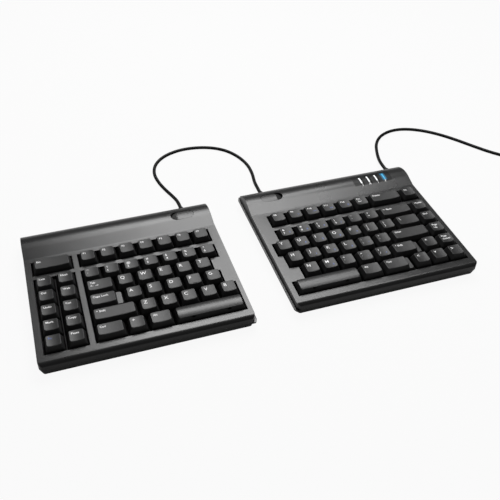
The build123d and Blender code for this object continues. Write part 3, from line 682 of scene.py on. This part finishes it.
key_boxes = {name: loose_boxes(name) for name in key_nodes}
for name in key_nodes:
    work = bmesh.new()
    for number, (low, high) in enumerate(key_boxes[name]):
        foot_z = high.z - cap_height
        middle = (low + high) / 2
        half_x = (high.x - low.x) / 2
        half_y = (high.y - low.y) / 2
        if name in stepped_nodes:
            under_roof = step_height - key_roof
            add_cap(work, middle, half_x, half_y, foot_z, step_height, "flat")
            for face in work.faces:
                if face.material_index == 0:
                    face.material_index = 2
            cap_middle = Vector((low.x + stepped_width / 2, middle.y, 0))
            add_cap(work, cap_middle, stepped_width / 2, half_y, foot_z, cap_height, "dished")
        elif name in space_nodes:
            under_roof = cap_height - cap_crown - key_roof
            add_cap(work, middle, half_x, half_y, foot_z, cap_height, "space")
            add_clips(work, middle, foot_z, under_roof)
        else:
            under_roof = cap_height - key_roof
            drawn = back_lean if name in leaned_nodes else 0.0
            add_cap(work, middle, half_x, half_y, foot_z, cap_height, "dished", drawn)
        half_stem = stem_width / 2
        stem_low = Vector((middle.x - half_stem, middle.y - half_stem, low.z))
        stem_top = foot_z + under_roof + key_roof / 2
        stem_high = Vector((middle.x + half_stem, middle.y + half_stem, stem_top))
        add_block(work, stem_low, stem_high, 1)
        if homing_nodes.get(name) == number:
            dish_z = high.z - cap_dish
            near_x, far_x = middle.x - homing_half_length, middle.x + homing_half_length
            bar_low = Vector((near_x, low.y + homing_front, dish_z - homing_sunk))
            bar_high = Vector((far_x, low.y + homing_back, dish_z + homing_rise))
            add_block(work, bar_low, bar_high, 0)
    mesh = bpy.data.meshes.new(f"{name}_cap")
    work.to_mesh(mesh)
    work.free()
    mesh.materials.append(bar_plastic if name in space_nodes else key_plastic)
    mesh.materials.append(lit_skirt_plastic)
    if name in stepped_nodes:
        mesh.materials.append(bar_plastic)
    piece = bpy.data.objects.new(f"{name}_cap", mesh)
    bpy.context.scene.collection.objects.link(piece)
    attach(piece, body_of_node[name])
    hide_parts(name)


# Key legends. White letters stand at the upper left of each top, two rows of
# signs on the number keys, and small blue ones for the second layer.
def ink_paint(name, dark, pale):
    paint = Paint(name)
    paint.set(Base_Color=paint.blend(paint.noise(ink_cloud), dark, pale), Roughness=0.5)
    return paint.material


ink_cloud = 2 * mm
white_ink = ink_paint("white ink", shade(0.8), shade(0.9))
blue_ink = ink_paint("blue ink", (0.03, 0.07, 0.28, 1), (0.05, 0.11, 0.38, 1))
ink_rise = 0.03 * mm
stroke_grow = 0.045 * mm
letter_size = 5.4 * mm
sign_size = 3.7 * mm
word_size = 3.3 * mm
left_space = 2.2 * mm
back_space = 2.3 * mm
line_share = 1.25
second_right = 2.4 * mm
second_pair_right = 1.4 * mm
second_letter = 0.4 * mm
second_front = 1.6 * mm
legends = {
    "esc_key": ["Esc"],
    "left_hot_keys": ["Last", "Next", "Del", "Web", "Undo", "Cut", "Mark", "Copy", "Paste"],
    "fn_key": ["*Fn"],
    "left_function_keys": ["F1", "F2", "F3", "F4", "F5", "F6", "F7"],
    "left_number_keys": ["~|`", "!|1", "@|2", "#|3", "$|4", "%|5", "^|6"],
    "tab_key": ["Tab|<-  ->"],
    "left_upper_letter_keys": list("QWERT"),
    "caps_lock_key": ["Caps Lock"],
    "left_home_letter_keys": list("ASDFG"),
    "left_shift_key": ["^ Shift"],
    "left_lower_letter_keys": list("ZXCVB"),
    "left_ctrl_key": ["Ctrl"],
    "left_system_key": ["+"],
    "left_alt_key": ["Alt"],
    "right_function_keys": ["F8", "F9*>", "F10*<<", "F11*>>", "F12*x", "Prt|Scr", "Ins"],
    "delete_key": ["Delete"],
    "right_number_keys": ["&|7*7", "#|8*8", "(|9*9", ")|0*/", "_|-", "+|="],
    "backspace_key": ["<- Back"],
    "right_upper_letter_keys": ["Y", "U*4", "I*5", "O*6", "P*x", "{|[", "}|]", "||\\"],
    "right_home_letter_keys": ["H", "J*1", "K*2", "L*3", ":|;*-", "\"|'"],
    "enter_key": ["Enter"],
    "right_lower_letter_keys": ["N", "M*0", "<|,", ">|.*.", "?|/*+"],
    "right_shift_key": ["^ Shift"],
    "right_alt_key": ["Alt"],
    "right_ctrl_key": ["Ctrl"],
    "navigation_keys": ["Home", "End", "Page|Up", "Page|Down"],
    "arrow_keys": ["^", "<", "v", ">"],
}
outlines = {}


def sign_mesh(text, size):
    if (text, size) not in outlines:
        font = bpy.data.curves.new("sign", "FONT")
        font.body = text
        font.size = size
        font.resolution_u = 3
        font.offset = stroke_grow
        holder = bpy.data.objects.new("sign", font)
        bpy.context.scene.collection.objects.link(holder)
        mesh = mesh_of_curve(holder)
        bpy.data.objects.remove(holder)
        outlines[text, size] = mesh
    return outlines[text, size]


def ink(work, text, size, left, top, centre_x, half_x, rim_z, material_index):
    """One word laid on a dished top, its upper left corner at the given place."""
    mesh = sign_mesh(text, size)
    low_x = min(v.co.x for v in mesh.vertices)
    high_y = max(v.co.y for v in mesh.vertices)
    start = len(work.verts)
    verts = []
    for v in mesh.vertices:
        x = left + v.co.x - low_x
        y = top + v.co.y - high_y
        sink = cap_dish * (1 - min(1, ((x - centre_x) / half_x) ** 2))
        verts.append(work.verts.new((x, y, rim_z - sink + ink_rise)))
    for polygon in mesh.polygons:
        face = work.faces.new([verts[n] for n in polygon.vertices])
        face.material_index = material_index


for name, words in legends.items():
    work = bmesh.new()
    for (low, high), word in zip(key_boxes[name], words):
        half_x = (stepped_width if name in stepped_nodes else high.x - low.x) / 2
        centre_x = low.x + half_x
        top_left = centre_x - half_x + cap_inset + left_space
        top_back = high.y - cap_inset - back_space
        if name in leaned_nodes:
            top_back -= back_lean / 2
        blue_alone = word[0] == "*"
        main, _, second = (word[1:], "", "") if blue_alone else word.partition("*")
        lines = [line for line in main.split("|") if line] if len(main) > 1 else [main]
        longest = max(len(line) for line in lines)
        size = word_size if longest > 1 else (letter_size if len(lines) == 1 else sign_size)
        top = (centre_x, half_x - cap_inset, high.z)
        for row, line in enumerate(lines):
            drop = row * size * line_share
            ink(work, line, size, top_left, top_back - drop, *top, 1 if blue_alone else 0)
        if second:
            across = centre_x + (second_pair_right if len(second) > 1 else second_right)
            across -= second_letter * len(second)
            along = (low.y + high.y) / 2 - second_front
            ink(work, second, word_size, across, along, *top, 1)
    mesh = bpy.data.meshes.new(f"{name}_legend")
    work.to_mesh(mesh)
    work.free()
    mesh.materials.append(white_ink)
    mesh.materials.append(blue_ink)
    piece = bpy.data.objects.new(f"{name}_legend", mesh)
    bpy.context.scene.collection.objects.link(piece)
    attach(piece, body_of_node[name])


# Indicator panel. Four light windows stand side by side in it, the last one
# blue and lit, each with a small printed mark in front of it. The unlit ones
# glow faintly as painted light, a painted blue glow lies round the lit one,
# and a dark strip beside each window is painted shadow.
marks = "1A!F"
window_pitch = 9.5 * mm
window_width = 1.8 * mm
window_length = 9.6 * mm
window_shift = -1.5 * mm
glow_width = 5.6 * mm
glow_length = 12.0 * mm
shadow_width = 4.6 * mm
shadow_length = 14.5 * mm
shadow_shift = 0.8 * mm
strip_steps = 10
mark_size = 4.2 * mm
mark_space = 0.5 * mm
window_rise = 0.06 * mm
glow_rise = 0.045 * mm
glow_cloud = 3 * mm
panel_low, panel_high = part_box("indicator_panel")


def surface_tree(name):
    work = bmesh.new()
    work.from_mesh(nodes[name].data)
    tree = BVHTree.FromBMesh(work)
    work.free()
    return tree


surface_trees = [surface_tree("indicator_panel"), surface_tree("right_top_case")]


def panel_point(x, y, rise):
    above = Vector((x, y, 2 * panel_high.z))
    hits = [tree.ray_cast(above, Vector((0, 0, -1)))[0] for tree in surface_trees]
    return (x, y, max(hit.z for hit in hits if hit) + rise)


def add_strip(work, x, y, width, length, rise, material_index):
    """A narrow strip laid on the panel that follows the slope under it."""
    rows = []
    for step in range(strip_steps + 1):
        along = y + length * (step / strip_steps - 0.5)
        ends = [panel_point(x + side * width / 2, along, rise) for side in (-1, 1)]
        rows.append([work.verts.new(end) for end in ends])
    for near, far in zip(rows, rows[1:]):
        face = work.faces.new((near[0], near[1], far[1], far[0]))
        face.material_index = material_index


# A glowing paint. The lit blue window is a lamp, while the faint glow of the unlit windows and
# the glow round the lit one are painted light.
def glowing_paint(name, colour, strength):
    paint = Paint(name)
    cloud = paint.noise(glow_cloud)
    dark, pale = shade(0.9, colour), shade(1.0, colour)
    paint.set(Base_Color=paint.blend(cloud, dark, pale), Roughness=0.25)
    paint.shader.inputs["Emission Color"].default_value = shade(1.0, colour)
    paint.shader.inputs["Emission Strength"].default_value = strength
    return paint.material


# The unlit white windows glow faintly, which is painted light.
faintly_glowing_window = glowing_paint("white window", (0.85, 0.87, 0.88), 0.15)
blue_lamp = glowing_paint("blue window", (0.05, 0.33, 0.58), 0.42)
# A painted glow: the lit window's light painted onto the panel round it.
painted_blue_glow = glowing_paint("blue glow", (0.012, 0.075, 0.13), 0.5)
# Near-black strips set a little right of each window: painted shadow beside the windows.
window_shadow_paint = moulded("painted window shadow", 0.002, 0.6, 0.5 * mm, 0.01 * mm, 0.12)
panel_x = (panel_low.x + panel_high.x) / 2
panel_y = (panel_low.y + panel_high.y) / 2 + window_shift
work = bmesh.new()
for number, mark in enumerate(marks):
    lit = mark == marks[-1]
    x = panel_x + (number - (len(marks) - 1) / 2) * window_pitch
    # The painted shadow beside this window.
    add_strip(work, x + shadow_shift, panel_y, shadow_width, shadow_length, ink_rise, 3)
    if lit:
        # The painted glow round the lit window.
        add_strip(work, x, panel_y, glow_width, glow_length, glow_rise, 4)
    add_strip(work, x, panel_y, window_width, window_length, window_rise, 1 if lit else 0)
    mesh = sign_mesh(mark, mark_size)
    wide = max(v.co.x for v in mesh.vertices)
    tall = max(v.co.y for v in mesh.vertices)
    left = x - wide / 2
    front = panel_y - window_length / 2 - mark_space - tall
    spots = [panel_point(left + v.co.x, front + v.co.y, window_rise) for v in mesh.vertices]
    verts = [work.verts.new(spot) for spot in spots]
    for polygon in mesh.polygons:
        work.faces.new([verts[n] for n in polygon.vertices]).material_index = 2
mesh = bpy.data.meshes.new("panel_windows")
work.to_mesh(mesh)
work.free()
for material in (faintly_glowing_window, blue_lamp, white_ink, window_shadow_paint, painted_blue_glow):
    mesh.materials.append(material)
windows = bpy.data.objects.new("panel_windows", mesh)
bpy.context.scene.collection.objects.link(windows)
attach(windows, "right_half")


# Floor and light. The floor is a pale sheet that reads as white. Two broad soft
# lights stand above and behind, and the world gives a weak fill.
floor_mesh = bpy.data.meshes.new("floor")
reach = 6.0
floor_cloud = 80 * mm
corners = [(-reach, -reach, 0), (reach, -reach, 0), (reach, reach, 0), (-reach, reach, 0)]
floor_mesh.from_pydata(corners, [], [(0, 1, 2, 3)])
floor = bpy.data.objects.new("floor", floor_mesh)
bpy.context.scene.collection.objects.link(floor)
floor_paint = Paint("floor")
floor_mesh.materials.append(floor_paint.material)
seen = floor_paint.add("ShaderNodeLightPath", {}, {}, "Is Camera Ray")
glossy = floor_paint.add("ShaderNodeLightPath", {}, {}, "Is Glossy Ray")
through = floor_paint.add("ShaderNodeLightPath", {}, {}, "Is Transmission Ray")
grain = floor_paint.noise(floor_cloud)
floor_dark = 0.42
floor_pale = 0.44
floor_colour = floor_paint.blend(grain, shade(floor_dark), shade(floor_pale))
floor_paint.set(Base_Color=floor_colour, Roughness=0.9)
glow = floor_paint.add("ShaderNodeEmission", {}, {"Color": (1, 1, 1, 1), "Strength": 1.0})
white_share = 0.93
mirror_share = 0.05
shown = (white_share * seen).larger(mirror_share * glossy).larger(white_share * through)
surface = Channel(floor_paint, floor_paint.shader.outputs[0])
mixed = floor_paint.add("ShaderNodeMixShader", {}, {0: shown, 1: surface, 2: glow})
floor_paint.tree.links.new(mixed.socket, floor_paint.output.inputs["Surface"])
floor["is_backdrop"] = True

world = bpy.data.worlds.new("world")
world.use_nodes = True
bpy.context.scene.world = world
sky = world.node_tree
paths = sky.nodes.new("ShaderNodeLightPath")
brighter = sky.nodes.new("ShaderNodeMath")
brighter.operation = "MAXIMUM"
sky.links.new(paths.outputs["Is Camera Ray"], brighter.inputs[0])
sky.links.new(paths.outputs["Is Transmission Ray"], brighter.inputs[1])
strength = sky.nodes.new("ShaderNodeMapRange")
sky.links.new(brighter.outputs[0], strength.inputs["Value"])
fill_strength = 0.13
strength.inputs["To Min"].default_value = fill_strength
strength.inputs["To Max"].default_value = 1.0
sky.links.new(strength.outputs["Result"], sky.nodes["Background"].inputs["Strength"])
sky.nodes["Background"].inputs["Color"].default_value = (1, 1, 1, 1)


def soft_light(name, place, aim, width, depth, power):
    light = bpy.data.lights.new(name, "AREA")
    light.shape = "RECTANGLE"
    light.size = width
    light.size_y = depth
    light.energy = power
    holder = bpy.data.objects.new(name, light)
    bpy.context.scene.collection.objects.link(holder)
    holder.location = place
    toward = Vector(aim) - Vector(place)
    holder.rotation_euler = toward.to_track_quat("-Z", "Y").to_euler()


soft_light(
    "top light", place=(0.22, 0.33, 0.92), aim=(0.0, 0.05, 0), width=0.8, depth=0.34, power=8.2
)
soft_light(
    "back light", place=(0.22, 0.8, 0.9), aim=(0.0, 0.0, 0), width=0.78, depth=0.36, power=6.8
)

low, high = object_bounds()
